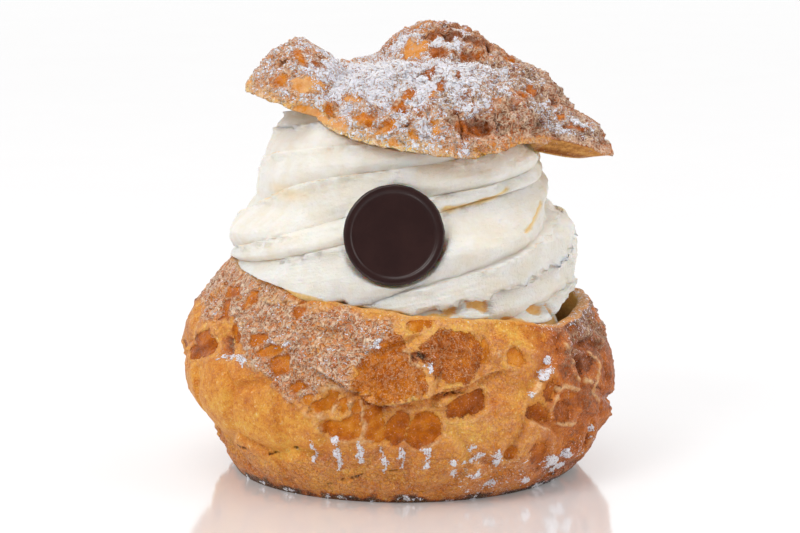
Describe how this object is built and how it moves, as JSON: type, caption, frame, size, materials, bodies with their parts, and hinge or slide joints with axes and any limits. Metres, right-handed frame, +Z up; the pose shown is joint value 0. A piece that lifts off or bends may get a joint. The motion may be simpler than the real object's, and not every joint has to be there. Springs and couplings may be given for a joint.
{
  "type": "chantilly cream puff",
  "caption": "Round choux bun filled with a tall swirl of piped whipped cream, with a chocolate disc set on its front and the torn top of the bun laid on the cream as a lid.",
  "frame": {"origin": "middle of the flat foot of the choux shell", "axes": "+Z up, -Y towards the side with the chocolate disc, +X to the right of someone who looks at the disc"},
  "size_m": [0.0994, 0.098, 0.1028],
  "materials": {
    "baked_choux": "uneven golden brown baked crust",
    "whipped_cream": "soft matt off-white cream",
    "baked_choux_lid": "uneven golden brown baked crust dusted with icing sugar",
    "dark_chocolate": "cast dark chocolate with a soft gloss"
  },
  "bodies": {
    "root": {"choux_shell": "baked_choux", "chantilly": "whipped_cream", "choux_lid": "baked_choux_lid", "chocolate_disc": "dark_chocolate"}
  },
  "joints": []
}
